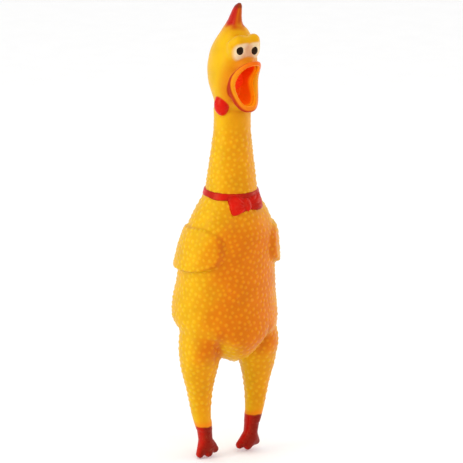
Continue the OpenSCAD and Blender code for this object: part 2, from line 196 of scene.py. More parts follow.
def beak_polar(p):
    """Distance inside the lips' outline, and how far forward the lips stand in that direction."""
    z = p[:, 2] - BEAK_Z
    rz = np.where(z > 0, BEAK_RZ_UP, BEAK_RZ_LOW)
    u, v = np.abs(p[:, 0]) / BEAK_RX, np.abs(z) / rz
    share = (u ** BEAK_SQUARE + v ** BEAK_SQUARE) ** (1 / BEAK_SQUARE) + 1e-6
    steep = np.hypot((u / share) ** (BEAK_SQUARE - 1) / BEAK_RX, (v / share) ** (BEAK_SQUARE - 1) / rz)
    inside = (1 - share) / np.maximum(steep, 0.02)
    reach = np.where(z > 0, UPPER_REACH, LOWER_REACH) * np.clip(v / np.maximum(share, 0.3), 0, 1) ** 1.9
    return inside, CORNER_Y - reach * np.minimum(1, share * 1.5)


def lips(p):
    """Radius of the lips' roll and width of the lips, both least along the top."""
    thin = ramp(p[:, 2] - BEAK_Z, 2, 17)
    return LIP_R - 0.8 * thin, LIP_WIDTH - 1.8 * thin


def beak_face(p):
    """Depth of the mouth's surface: behind the roll of the lips the cup drops to the throat."""
    inside, lip_y = beak_polar(p)
    roll, width = lips(p)
    y = lip_y + 0.75 * roll + 0.55 * np.clip(inside - roll, 0, 3)
    drop = ramp(inside, width - 1.2, width + 3.6)
    return y + (CUP_BACK_Y - 0.5 - y) * drop


BROW_ARC = [((0, -21.2, 362.8), (7.0, -20.2, 363.0), 4.2, 3.9),
            ((7.0, -20.2, 363.0), (11.6, -16.4, 360.4), 3.9, 2.6)]
WATTLE = (np.array([15.2, -6.6, 306.8]), (4.4, 6.6, 8.6), yaw(0.42))
BORE_LEAD = 4           # the whistle's hole starts this far before the cup's back


def head_field(p):
    d = limb(p, SKULL_LINE)
    d = join(d, limb(p, COMB_LINE), 3.0)
    q = mirrored(p)
    d = join(d, ellipsoid(q, (10.5, -5, 317), (7.2, 11, 12)), 6.0)
    d = join(d, ellipsoid(q, EYE - [0, 0, 0.2], (8.4, 8.9, 9.6)), 2.4)
    for a, b, ra, rb in BROW_ARC:
        d = join(d, capsule(q, a, b, ra, rb), 4.2)
    inside, lip_y = beak_polar(p)
    behind = p[:, 1] - lip_y
    waist = 1.9 * np.exp(-((behind - 6.6) / 2.6) ** 2) - 0.6 * ramp(behind, 9, 17)
    muzzle = common(-(inside - 0.9 - waist), (beak_face(p) - p[:, 1]) * 0.75, 1.3)
    muzzle = common(muzzle, p[:, 1] - 2, 3.0)
    d = join(d, muzzle, 3.0)
    hollow = common(-(inside - lips(p)[1] + 2), (p[:, 1] - beak_face(p)) * 0.7, 0.8)
    d = carve(d, hollow, 0.8)
    lip_r = lips(p)[0]
    roll = np.hypot(inside - lip_r, behind - lip_r) - lip_r
    d = join(d, np.where(inside < 9, roll, 9), 1.2)
    bore = np.hypot(p[:, 0], p[:, 2] - BEAK_Z) - TUBE_R - 0.1
    start = CUP_BACK_Y - BORE_LEAD
    bore = np.maximum(bore, np.abs(p[:, 1] - (start + WHISTLE_END) / 2) - (WHISTLE_END - start) / 2)
    d = np.maximum(d, -bore)
    return join(d, ellipsoid(q, *WATTLE), 1.1)


WING_MID, WING_SPAN = math.radians(94), math.radians(58)
WING_Z, WING_HALF = 183.4, 19.5


def wing_mask(p):
    """1 on the folded wing, 0 off it; it wraps the flank and hangs lowest behind."""
    turn = np.arctan2(np.abs(p[:, 0]), -(p[:, 1] - 4))
    u = (turn - WING_MID) / WING_SPAN
    v = (p[:, 2] - WING_Z + 3.5 * u) / WING_HALF
    return ramp((np.abs(u) ** 3 + np.abs(v) ** 3) ** (1 / 3), 1.04, 0.86), v


def groove(q):
    """1 along the soft furrow between a thigh and the front of the belly."""
    x, y, z = q.T
    return np.exp(-((x - FURROW_X) / FURROW_W) ** 2) * ramp(z, 124, 110) * ramp(z, 84, 94) * ramp(y, -4, -14)


def body_field(p):
    d = limb(p, BODY_LINE)
    mask, v = wing_mask(p)
    d = d - mask * (3.5 - 1.5 * v)
    q = mirrored(p)
    d = join(d, limb(q, LEG_LINE), 5.5)
    d = d + 1.5 * groove(q)
    return join(d, capsule(p, (0, 34, 112), (0, 46.5, 106.5), 10, 4.6), 10)


# Toe tips of each foot: outwards from the ankle, forwards and up, in the order outer, middle, inner.
TOES = {-1: [(4.2, -0.8, 3.6), (-3.4, -2.4, 3.8), (-10.4, -0.6, 6.0)],
        1: [(4.4, 0.6, 6.6), (-4.6, -0.8, 3.6), (-11.6, 0.8, 5.0)]}
TOE_R = 3.4


def foot_field(p):
    """Both feet: an ankle that widens into three blunt toes."""
    q = np.column_stack([np.abs(p[:, 0]) - ANKLE_X, p[:, 1] + 1, p[:, 2]])
    d = capsule(q, (0.2, 0, 30), (-2.0, -0.1, 11.5), 6.7, 5.9)
    for side, tips in TOES.items():
        here = p[:, 0] * side > 0
        for x, y, z in tips:
            toe = capsule(q[here], (x * 0.4 - 1.2, -0.2, 11), (x, y, z), 4.8, TOE_R)
            d[here] = join(d[here], toe, 2.2)
    return join(d, ellipsoid(q, (-2.8, -0.8, 8.6), (8.2, 3.6, 6.2)), 2.4)


def chicken(p):
    d = np.full(len(p), 50.0)
    upper, lower, low = p[:, 2] > 255, p[:, 2] < 308, p[:, 2] < 34
    d[lower] = body_field(p[lower])
    d[upper] = join(d[upper], head_field(p[upper]), 4.0)
    d[low] = join(d[low], foot_field(p[low]), 1.5)
    return d


# ---------------------------------------------------------------- mesh from a field

def surface_net(field, low, high, h):
    """Quads round the zero of a field: one vertex in each cell that the surface crosses."""
    low = np.array(low, float)
    n = np.ceil((np.array(high) - low) / h).astype(int) + 1
    axes = [low[i] + h * np.arange(n[i]) for i in range(3)]
    yy, zz = np.meshgrid(axes[1], axes[2], indexing="ij")
    values = np.empty(n)
    for i, x in enumerate(axes[0]):
        values[i] = field(np.column_stack([np.full(yy.size, x), yy.ravel(), zz.ravel()])).reshape(yy.shape)
    inside = values < 0
    corners = [(i, j, k) for i in (0, 1) for j in (0, 1) for k in (0, 1)]
    cut = [slice(0, -1), slice(1, None)]
    count = sum(inside[cut[i], cut[j], cut[k]].astype(np.int8) for i, j, k in corners)
    cells = np.argwhere((count > 0) & (count < 8))
    index = -np.ones(n - 1, int)
    index[tuple(cells.T)] = np.arange(len(cells))
    total, hits = np.zeros((len(cells), 3)), np.zeros(len(cells))
    for a in corners:
        for axis in range(3):
            if a[axis]:
                continue
            b = list(a)
            b[axis] = 1
            va, vb = values[tuple((cells + a).T)], values[tuple((cells + b).T)]
            crossed = (va < 0) != (vb < 0)
            t = np.where(crossed, va / np.where(crossed, va - vb, 1), 0)
            total[crossed] += (np.array(a, float) + np.eye(3)[axis] * t[:, None])[crossed]
            hits += crossed
    verts = low + h * (cells + total / hits[:, None])
    quads = []
    for axis in range(3):
        u, v = (axis + 1) % 3, (axis + 2) % 3
        first, second = [slice(None)] * 3, [slice(None)] * 3
        first[axis], second[axis] = slice(0, -1), slice(1, None)
        edges = np.argwhere(inside[tuple(first)] != inside[tuple(second)])
        edges = edges[(edges[:, u] > 0) & (edges[:, v] > 0)]
        eu, ev = np.eye(3, dtype=int)[u], np.eye(3, dtype=int)[v]
        q = np.column_stack([index[tuple(c.T)] for c in (edges - eu - ev, edges - ev, edges, edges - eu)])
        flip = ~inside[tuple(edges.T)]
        q[flip] = q[flip][:, ::-1]
        quads.append(q)
    return verts, np.vstack(quads)


def subdivide(verts, quads):
    """Each quad becomes four."""
    edges = np.sort(np.stack([quads, np.roll(quads, -1, 1)], 2).reshape(-1, 2), 1)
    key = edges[:, 0].astype(np.int64) * len(verts) + edges[:, 1]
    unique, inverse = np.unique(key, return_inverse=True)
    mid = (verts[unique // len(verts)] + verts[unique % len(verts)]) / 2
    e = inverse.reshape(-1, 4) + len(verts)
    c = np.arange(len(quads)) + len(verts) + len(unique)
    parts = [np.column_stack([quads[:, i], e[:, i], c, e[:, i - 1]]) for i in range(4)]
    return np.vstack([verts, mid, verts[quads].mean(1)]), np.vstack(parts)


def around(verts, quads):
    """Mean of each vertex's neighbours."""
    total, count = np.zeros_like(verts), np.zeros(len(verts))
    for i in range(4):
        a, b = quads[:, i], quads[:, (i + 1) % 4]
        for s, t in ((a, b), (b, a)):
            for k in range(verts.shape[1]):
                total[:, k] += np.bincount(s, verts[t, k], len(verts))
            count += np.bincount(s, minlength=len(verts))
    return total / count[:, None]


def slope(field, verts, e=0.05):
    base = field(verts)
    return base, np.column_stack([field(verts + e * np.eye(3)[k]) - base for k in range(3)]) / e


def settle(field, verts, steps=2):
    """Moves vertices along the slope onto the surface."""
    for _ in range(steps):
        d, g = slope(field, verts)
        verts = verts - g * np.clip(d / np.maximum((g * g).sum(1), 0.05), -1.0, 1.0)[:, None]
    return verts


def shape(field, low, high, h, fine=True):
    """A smooth, even mesh of a field."""
    verts, quads = surface_net(field, low, high, h)
    verts = settle(field, verts + 0.5 * (around(verts, quads) - verts))
    if fine:
        verts, quads = subdivide(verts, quads)
        for share in (0.6, 0.4):
            verts = settle(field, verts + share * (around(verts, quads) - verts), 1)
    return verts, quads


def vertex_normals(verts, quads):
    p = verts[quads]
    face = np.cross(p[:, 2] - p[:, 0], p[:, 3] - p[:, 1])
    total = np.zeros_like(verts)
    for i in range(4):
        for k in range(3):
            total[:, k] += np.bincount(quads[:, i], face[:, k], len(verts))
    return total / np.maximum(np.linalg.norm(total, axis=1), 1e-12)[:, None]


def openness(field, verts, normals, reach):
    """1 where the surface is open to the air, near 0 deep in a crease."""
    return np.clip(field(verts + normals * reach) / reach, 0, 1)


# ---------------------------------------------------------------- goose bumps

BUMP_GAP, BUMP_R, BUMP_H = 4.0, 2.0, 0.5


def scatter(points, gap, rounds=3):
    """Points at least gap apart, then evened out, as the follicles on a plucked skin are."""
    cells, kept = {}, []
    for i in rng.permutation(len(points)):
        p = points[i]
        key = tuple((p // gap).astype(int))
        near = (q for dx in (-1, 0, 1) for dy in (-1, 0, 1) for dz in (-1, 0, 1)
                for q in cells.get((key[0] + dx, key[1] + dy, key[2] + dz), ()))
        if all((p[0] - q[0]) ** 2 + (p[1] - q[1]) ** 2 + (p[2] - q[2]) ** 2 > gap * gap for q in near):
            cells.setdefault(key, []).append(p)
            kept.append(p)
    kept = np.array(kept)
    surface = tree(points)
    for _ in range(rounds):
        owner, _ = nearest(tree(kept), points)
        total = np.column_stack([np.bincount(owner, points[:, k], len(kept)) for k in range(3)])
        mean = total / np.maximum(np.bincount(owner, minlength=len(kept)), 1)[:, None]
        kept = points[nearest(surface, mean)[0]]
    return kept


def tree(points):
    kd = KDTree(len(points))
    for i, p in enumerate(points.tolist()):
        kd.insert(p, i)
    kd.balance()
    return kd


def nearest(kd, points):
    found = [kd.find(p)[1:] for p in points.tolist()]
    return np.array([f[0] for f in found]), np.array([f[1] for f in found])


def bump_zone(p):
    """Bumps cover the body, the neck and the legs, and fade out under the chin and at the ankles."""
    return ramp(p[:, 2], 297, 276) * ramp(p[:, 2], 32, 50)


verts, quads = surface_net(chicken, (-50.0, -40.0, -1.5), (50.0, 60.0, 393.0), 1.3)
verts = settle(chicken, verts + 0.5 * (around(verts, quads) - verts))
skin = verts[bump_zone(verts) > 0.12]
follicles = scatter(skin, BUMP_GAP)
follicle_size = rng.uniform(0.82, 1.15, len(follicles))
verts, quads = subdivide(verts, quads)
for share in (0.6, 0.4):
    verts = settle(chicken, verts + share * (around(verts, quads) - verts), 1)
normals = vertex_normals(verts, quads)
open_air = openness(chicken, verts, normals, 4.0)
owner, away = nearest(tree(follicles), verts)
bump = np.clip(1 - (away / (BUMP_R * follicle_size[owner])) ** 2, 0, 1) ** 2 * bump_zone(verts)
rest = verts
verts = verts + normals * (BUMP_H * bump * (0.35 + 0.65 * open_air) * follicle_size[owner])[:, None]
soft_normals, normals = normals, vertex_normals(verts, quads)


# ---------------------------------------------------------------- paint, worked out at every vertex

def colour(r, g, b):
    """A display colour as linear light."""
    c = np.array([r, g, b]) / 255
    return np.where(c < 0.04045, c / 12.92, ((c + 0.055) / 1.055) ** 2.4)


PIGMENT = 0.76        # vinyl sends back less light than the brightest display colour
YELLOW, ORANGE = colour(246, 190, 2), colour(234, 122, 0)
# colours of the painted highlight on the goose bump tops
HIGHLIGHT_YELLOW, HIGHLIGHT_ORANGE = colour(255, 214, 40), colour(255, 172, 20)
RED, DARK_RED = colour(226, 6, 2), colour(140, 2, 1)
LIP, LIP_GLOW = colour(252, 112, 4), colour(255, 158, 10)
MOUTH, MOUTH_LOW = colour(240, 52, 0), colour(246, 92, 2)
EYE_PALE, EYE_FLESH, CREASE_SHADE = colour(252, 222, 176), colour(242, 190, 146), colour(206, 92, 0)
COMB_WARM = colour(206, 84, 6)
COMB_FOOT, COMB_TOP = colour(240, 140, 0), colour(120, 20, 4)
ANKLE, BRIDGE, EYE_DOT = colour(255, 132, 10), colour(250, 146, 20), colour(22, 6, 5)
PAINT_RED, EDGE_RED = RED * 0.74, RED * 0.66      # sprayed on feet and comb, and round the beak's outer edge
DOT_GAP_SHADE, DOT_HIGHLIGHT = [0.97, 0.905, 0.89], 0.36  # painted shade on the skin between the bumps, and how strong the painted highlight on their tops is


def lay(base, over, mask):
    return base + (over - base) * np.clip(mask, 0, 1)[:, None]


def wave(p, size, seed):
    """A soft uneven field between -1 and 1, like the edge of a sprayed colour."""
    turn = np.random.default_rng(seed)
    out = np.zeros(len(p))
    for k in range(5):
        direction = turn.normal(size=3)
        direction *= 2 * math.pi / (size * (0.6 + 0.3 * k) * np.linalg.norm(direction))
        out += np.sin(p @ direction + turn.uniform(0, 6.28)) * (1 - 0.12 * k)
    return out / 3


def masks(p, n, air):
    """Where each colour of the decoration lies, and where shade is painted into the creases."""
    q = mirrored(p)
    x, y, z = q.T
    front = -n[:, 1]
    inside, lip_y = beak_polar(p)
    behind = y - lip_y
    lift = (z - BEAK_Z) / BEAK_RZ_UP
    at_beak = (y < -6) & (z > 296) & (z < 352)
    width = lips(p)[1]
    cavity = (inside > width - 1.5) & (y < WHISTLE_END) & (z > 300) & (z < 350) & (y > lip_y)
    out = {}
    on_roll = at_beak & (behind < 2.4 * LIP_R)
    out["lip"] = np.where(on_roll, ramp(inside, -1.2, 0.1) * ramp(behind, 4.2, 2.8), 0)
    out["lip"] = np.maximum(out["lip"], np.where(at_beak, ramp(inside, 1.5, 2.6) * ramp(behind, 8, 6), 0))
    out["mouth"] = np.where(cavity, ramp(inside, width - 1.0, width + 0.4), 0)
    low = ramp(lift, 0.3, -0.6)
    line = ramp(behind, 1.1 - 1.3 * low, 1.9 - 1.4 * low) * ramp(behind, 4.6 + 1.6 * low, 3.6 + 1.2 * low)
    line = line * ramp(inside, 1.6 + 1.2 * low, 0.9 + 0.9 * low) * ramp(inside, -3.0, -1.6)
    out["edge"] = np.where(at_beak, line * ramp(np.abs(lift + 0.05), 1.06, 0.88), 0)
    out["deep"] = ramp(behind, 4.5, 9.5)
    out["muzzle"] = np.where((y < -2), ramp(behind, 17, 4) * ramp(inside, -12, -4) * ramp(z, 292, 304), 0)
    eye = np.hypot((x - EYE[0] + 1.0) / 8.0, (z - EYE[2] + 0.4 - 0.6 * wave(p, 14, 3)) / 9.0)
    out["eye"] = ramp(eye, 1.12, 0.76) * ramp(y, -9, -13) * ramp(z, 362.8, 360.8) * ramp(
        np.hypot(x / 10, (z - 342) / 6.6), 0.95, 1.3)
    out["bridge"] = ramp(np.hypot(x / 11, (z - 342.5) / 7.0), 1.15, 0.7) * ramp(y, -9, -14)
    out["wattle"] = ramp(ellipsoid(q, *WATTLE), 1.0, 0.25)
    spray = 1.2 * wave(p, 9, 5)
    out["comb"] = ramp(z + spray - 0.12 * y, 370.5, 375.5) * ramp(front, 1.12, 0.45)
    out["comb_front"] = ramp(z + spray, 371, 377) * ramp(front, 0.6, 1.05)
    out["comb_warm"] = ramp(z + spray, 362, 376)
    line = np.where(p[:, 0] > 0, PAINT_LINE["left"], PAINT_LINE["right"])
    out["foot"] = ramp(z + 0.35 * wave(p, 7, 8) - line, 0.7, -0.3)
    out["ankle"] = ramp(z + spray - line, 7, 0) * 0.8
    chest = ramp(front + 0.10 * wave(p, 30, 2), 0.30, 0.97) * ramp(z, 330, 250)
    low = (0.4 + 0.6 * ramp(z, 240, 190)) * (1 - 0.5 * ramp(z, 100, 80))
    out["warm"] = np.maximum(chest * low, 0.55 * ramp(front, 0.2, 1.0) * ramp(z, 375, 355))
    wing = wing_mask(p)[0]
    # painted shade: darker orange where the surface is closed in, along the wing's edge and in the thigh
    # furrow
    out["crease"] = np.maximum.reduce([ramp(air, 0.78, 0.30), 1.5 * wing * (1 - wing), 0.6 * groove(q)])
    return out


def skin_paint(p, n, air, bump):
    m = masks(p, n, air)
    base = lay(np.tile(YELLOW, (len(p), 1)), ORANGE, 0.95 * m["warm"])
    # painted shade in the creases
    base = lay(base, CREASE_SHADE, 0.62 * m["crease"])
    # painted highlight and painted shade on the goose bumps: paler tops, darker skin between them
    top = lay(np.tile(HIGHLIGHT_YELLOW, (len(p), 1)), HIGHLIGHT_ORANGE, m["warm"])
    zone = bump_zone(p)
    base = lay(base, base * DOT_GAP_SHADE, zone * (1 - np.clip(bump * 2.5, 0, 1)))
    base = lay(base, top, DOT_HIGHLIGHT * np.clip(bump * 1.4, 0, 1))
    base = lay(base, ORANGE, 0.75 * m["muzzle"])
    base = lay(base, COMB_FOOT, 0.7 * m["comb_warm"])
    base = lay(base, ANKLE, m["ankle"] * (1 - m["foot"]))
    flesh = ramp(np.hypot(p[:, 0] / 4.4, (p[:, 2] - 350) / 10), 1.6, 0.6)
    base = lay(base, lay(np.tile(EYE_PALE, (len(p), 1)), EYE_FLESH, flesh), m["eye"])
    base = lay(base, BRIDGE, 0.9 * m["bridge"] * (1 - 0.8 * m["eye"]))
    far = ramp(wave(p, 40, 9), -1, 1) * 0.2
    base = lay(base, lay(np.tile(LIP, (len(p), 1)), LIP_GLOW, far + ramp(p[:, 1], -34, -16)), m["lip"])
    deep = lay(np.tile(MOUTH, (len(p), 1)), MOUTH_LOW, ramp(p[:, 2], BEAK_Z + 12, BEAK_Z - 16))
    base = lay(base, lay(np.tile(LIP_GLOW, (len(p), 1)), deep, m["deep"]), m["mouth"])
    base = lay(base, EDGE_RED, 0.92 * m["edge"])
    base = lay(base, RED, m["wattle"])
    base = lay(base, COMB_WARM, m["comb_front"])
    base = lay(base, PAINT_RED, m["comb"])
    base = lay(base, COMB_TOP, 0.7 * ramp(p[:, 2], COMB_TIP - 2.6, COMB_TIP - 0.4))
    shaded = ramp(-n[:, 1] + 0.5 * n[:, 0], 0.0, 1.0)
    red = lay(np.tile(PAINT_RED, (len(p), 1)), DARK_RED * 0.9, shaded * 0.9)
    base = lay(base, red, m["foot"])
    return np.clip(base * PIGMENT, 0, 1), m


# ---------------------------------------------------------------- pieces of the skin

def build(name, verts, quads, normals, rest, paint, gloss):
    """A Blender mesh with its own normals and the data that its material reads."""
    mesh = bpy.data.meshes.new(name)
    mesh.from_pydata(row(verts).tolist(), [], quads.tolist())
    mesh.update()
    at_rest = mesh.attributes.new("rest", "FLOAT_VECTOR", "POINT")
    at_rest.data.foreach_set("vector", rest.astype(np.float32).ravel())
    tint = mesh.color_attributes.new("paint", "FLOAT_COLOR", "POINT")
    tint.data.foreach_set("color", np.column_stack([paint, np.ones(len(paint))]).astype(np.float32).ravel())
    shine = mesh.attributes.new("gloss", "FLOAT", "POINT")
    shine.data.foreach_set("value", gloss.astype(np.float32))
    mesh.normals_split_custom_set_from_vertices(normals.tolist())
    o = bpy.data.objects.new(name, mesh)
    bpy.context.scene.collection.objects.link(o)
    return o


paint, marks = skin_paint(rest, soft_normals, open_air, bump)
gloss = np.clip(0.5 + 0.5 * np.maximum.reduce([marks[k] for k in ("lip", "mouth", "wattle", "comb", "foot")])
                - 0.35 * marks["crease"], 0, 1)

NECK_CUTS = {"neck_top": (293.0, 274.0, "neck_upper", "head", ("neck_top_flex",)),
             "neck_mid": (272.5, 254.0, "neck_lower", "neck_upper", ("neck_mid_flex", "neck_upper_skin")),
             "neck_base": (252.0, 232.5, "torso", "neck_lower", ("neck_base_flex", "neck_lower_skin"))}
LEG_CUTS = {"hip": (81.0, 61.5, 81.0, 65.5, "", "_leg", ("hip_flex", "leg_skin")),
            "knee": (61.5, 40.0, 58.0, 44.0, "_leg", "_shank", ("knee_flex", "shank_skin")),
            "ankle": (40.0, PAINT_Z, 36.0, 24.0, "_shank", "_foot", ("ankle_flex",)),
            "foot": (PAINT_Z, -9.0, 36.0, 24.0, "_shank", "_foot", ("foot",))}
COMB_CUT, COMB_STIFF = 368.6, 376.4
CROTCH_X = 9.0
DENT_HALF, DENT_FLAT = (24.0, 29.0), 0.4
SIDES = {"right": -1, "left": 1}

centre = rest[quads].mean(1)
fx, fy, fz = centre.T
on = {k: v[quads].mean(1) > 0.5 for k, v in marks.items()}
on["wing"] = wing_mask(centre)[0] > 0.5
compass = [(math.cos(k * math.pi / 4), math.sin(k * math.pi / 4)) for k in range(8)]
dent = np.array([(c / DENT_HALF[0]) * fx + (s / DENT_HALF[1]) * (fz - PANEL_Z) for c, s in compass])

regions = {"comb": fz > COMB_CUT, "mouth": on["mouth"], "lip": on["lip"], "eye_patch": on["eye"]}
for side, sign in SIDES.items():
    regions[side + "_wattle"] = on["wattle"] & (fx * sign > 0)
regions["head"] = fz > NECK_CUTS["neck_top"][0]
for part, (_, low, *_rest) in NECK_CUTS.items():
    regions[part] = fz > low - 1.5
for side, sign in SIDES.items():
    for part, (high, low, *_rest) in LEG_CUTS.items():
        high, low = (PAINT_LINE[side] if cut == PAINT_Z else cut for cut in (high, low))
        regions[f"{side}_{part}"] = (fx * sign > CROTCH_X) & (fz <= high) & (fz > low)
for k in range(8):
    regions[f"dent_{k}"] = (fy < 0) & (dent.max(0) < 1) & (dent.argmax(0) == k)
for side, sign in SIDES.items():
    regions[side + "_wing"] = on["wing"] & (fx * sign > 0)
regions["rump"] = fz < 108
regions["breast"] = fy < 4
regions["back"] = np.ones(len(fx), bool)

pieces, left = {}, np.ones(len(fx), bool)
for part, inside in regions.items():
    mine = quads[inside & left]
    left &= ~inside
    if not len(mine):
        continue
    used, local = np.unique(mine, return_inverse=True)
    pieces[part] = build("skin_" + part, verts[used], local.reshape(-1, 4), normals[used], rest[used],
                         paint[used], gloss[used])


# ---------------------------------------------------------------- bow, collar and pupils

BOW_Z = COLLAR_LOW - 3.0
BOW_LINE = dense([(-1, 2.6, 4.9, 0, 0), (2.5, 2.7, 5.1, 0, 0), (5, 3.3, 5.8, 0.3, 0), (9, 3.8, 6.7, 0.9, 0),
                  (13, 3.4, 7.0, 1.4, 0), (16.2, 2.1, 6.4, 1.9, 0)])


def bow_field(p):
    """Two puffed loops with folds that run out from the knot, laid on the chest."""
    depth = limb(p, BODY_LINE)
    side = np.sign(p[:, 0])
    x = np.abs(p[:, 0]) * np.where(side < 0, 1.1, 1.0)
    z = p[:, 2] - BOW_Z - 0.9 * side * ramp(x, 2, 12) - 0.5 * np.sin(x / 3.1 + 1.4 * side) * ramp(x, 3, 9)
    z = z * (1 + 0.07 * side)
    d = limb(np.column_stack([x, depth, z]), BOW_LINE, axis=0)
    d = join(d, ellipsoid(np.column_stack([p[:, 0], depth - 2.0, z]), (0, 0, 0), (3.2, 2.1, 5.3)), 0.9)
    turn = np.arctan2(z, x - 0.5)
    for fold, width, deep in ((0.62, 0.10, 0.5), (0.16, 0.09, 0.65), (-0.34, 0.10, 0.6), (-0.8, 0.09, 0.4)):
        crease = np.exp(-((turn - fold - 0.09 * side - 0.02 * x) / width) ** 2)
        d = d + deep * crease * ramp(x, 3.2, 5.5) * ramp(x, 15.5, 10)
    return d


def collar_field(p):
    """A flat moulded band round the neck with a slightly uneven lower edge."""
    depth = limb(p, BODY_LINE)
    turn = np.arctan2(p[:, 0], -p[:, 1])
    low = COLLAR_LOW + 0.35 * np.sin(3 * turn + 1.0) + 0.22 * np.sin(7 * turn)
    mid, half = (COLLAR_TOP + low) / 2, (COLLAR_TOP - low) / 2
    return ((np.abs((p[:, 2] - mid) / half) ** 5 + np.abs(depth / 1.3) ** 3) ** 0.25 - 1) * 1.5


def trim(name, field, low, high, h):
    v, q = shape(field, low, high, h)
    n = vertex_normals(v, q)
    air = openness(field, v, n, 1.6)
    # the darker red is random tone plus painted shade: in the folds and on the chicken's left side
    shade = 0.35 * ramp(wave(v, 16, 12), -0.6, 1) + 0.6 * ramp(air, 0.9, 0.4) + 0.25 * ramp(v[:, 0], -8, 14)
    tone = lay(np.tile(RED, (len(v), 1)), DARK_RED, np.clip(shade, 0, 0.85))
    return build(name, v, q, n, v, tone * PIGMENT, 0.85 - 0.3 * ramp(air, 0.9, 0.4))


pieces["bow"] = trim("bow_tie", bow_field, (-19.5, -36, BOW_Z - 10.5), (19.5, -14, BOW_Z + 10.5), 0.9)
COLLAR_BOX = 27        # half the width of the box the collar is meshed in
pieces["collar"] = trim("collar_ring", collar_field, (-COLLAR_BOX, -COLLAR_BOX, COLLAR_LOW - 2),
                        (COLLAR_BOX, COLLAR_BOX, COLLAR_TOP + 2), 0.9)

PUPIL = (3.05, 3.6)
PUPIL_ASIDE = -0.9       # both eyes look a little to the chicken's right
PUPIL_RINGS, PUPIL_SPOKES = 9, 40
PUPIL_START_Y, PUPIL_STEPS = -36.0, 60   # each dot starts before the face and walks back to the skin
for side, sign in SIDES.items():
    share = np.repeat(np.linspace(0, 1, PUPIL_RINGS + 1)[1:], PUPIL_SPOKES)
    spin = np.tile(np.arange(PUPIL_SPOKES) * 2 * math.pi / PUPIL_SPOKES, PUPIL_RINGS)
    share, spin = np.append(share, 0), np.append(spin, 0)
    p = np.column_stack([sign * PUPIL_X + PUPIL_ASIDE + PUPIL[0] * share * np.cos(spin),
                         np.full(len(share), PUPIL_START_Y),
                         EYE[2] + PUPIL_LIFT[sign] + PUPIL[1] * share * np.sin(spin)])
    for _ in range(PUPIL_STEPS):
        p[:, 1] += 0.8 * chicken(p)
    _, out = slope(chicken, p)
    out /= np.linalg.norm(out, axis=1)[:, None]
    thick = 0.55 * np.sqrt(np.clip(1.02 - share ** 4, 0, 1)) - 0.12
    p = p + out * thick[:, None]
    q = [[r * PUPIL_SPOKES + i, r * PUPIL_SPOKES + (i + 1) % PUPIL_SPOKES,
          (r + 1) * PUPIL_SPOKES + (i + 1) % PUPIL_SPOKES, (r + 1) * PUPIL_SPOKES + i]
         for r in range(PUPIL_RINGS - 1) for i in range(PUPIL_SPOKES)]
    hub = PUPIL_RINGS * PUPIL_SPOKES
    q += [[hub, 2 * i, 2 * i + 1, (2 * i + 2) % PUPIL_SPOKES] for i in range(PUPIL_SPOKES // 2)]
    q = np.array(q)
    face_out = vertex_normals(p, q)
    if (face_out * out).sum() < 0:
        q, face_out = q[:, ::-1], -face_out
    tone = np.tile(EYE_DOT, (len(p), 1))
    pieces[side + "_pupil"] = build(f"{side}_eye_dot", p, q, face_out, p, tone, np.ones(len(p)))


# ---------------------------------------------------------------- bodies, stand-ins and slots

for part in ("head", "lip", "mouth", "eye_patch", "right_wattle", "left_wattle", "right_pupil", "left_pupil"):
    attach(pieces[part], "head")
for part in ("rump", "breast", "back", "right_wing", "left_wing", "bow", "collar"):
    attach(pieces[part], "torso")
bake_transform(pieces["comb"])
for part, (high, low, a, b, nodes) in NECK_CUTS.items():
    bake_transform(pieces[part])
    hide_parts(*nodes)
for side in SIDES:
    for part, (_, _, high, low, a, b, nodes) in LEG_CUTS.items():
        o, parent = pieces[f"{side}_{part}"], side + a if a else "torso"
        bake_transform(o)
        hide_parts(*(f"{side}_{n}" for n in nodes))
for k, (c, s) in enumerate(compass):
    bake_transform(pieces[f"dent_{k}"])
    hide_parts("belly_panel", "belly_flex")

stands_for = {"head": ("head_skin",), "comb": ("comb", "comb_flex"), "lip": ("beak_rim",),
              "mouth": ("mouth_lining",),
              "eye_patch": ("right_eye_white", "left_eye_white"), "right_wattle": ("right_wattle",),
              "left_wattle": ("left_wattle",), "right_pupil": ("right_pupil",), "left_pupil": ("left_pupil",),
              "rump": ("torso_skin", "right_thigh_skin", "left_thigh_skin"), "breast": ("torso_skin",),
              "back": ("torso_skin",), "right_wing": ("right_wing",), "left_wing": ("left_wing",),
              "bow": ("bow",), "collar": ("collar_band",)}
for part, nodes in stands_for.items():
    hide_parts(*nodes)

SLOTS = {"comb": "comb_red", "right_wattle": "comb_red", "left_wattle": "comb_red", "lip": "beak_orange",
         "mouth": "mouth_red", "eye_patch": "eye_white", "right_pupil": "pupil_black",
         "left_pupil": "pupil_black", "bow": "collar_red", "collar": "collar_red",
         "right_foot": "foot_red", "left_foot": "foot_red"}
soft = {"neck_top", "neck_mid", "neck_base"} | {f"dent_{k}" for k in range(8)} | {
    f"{side}_{part}" for side in SIDES for part in ("hip", "knee", "ankle")}


# ---------------------------------------------------------------- materials

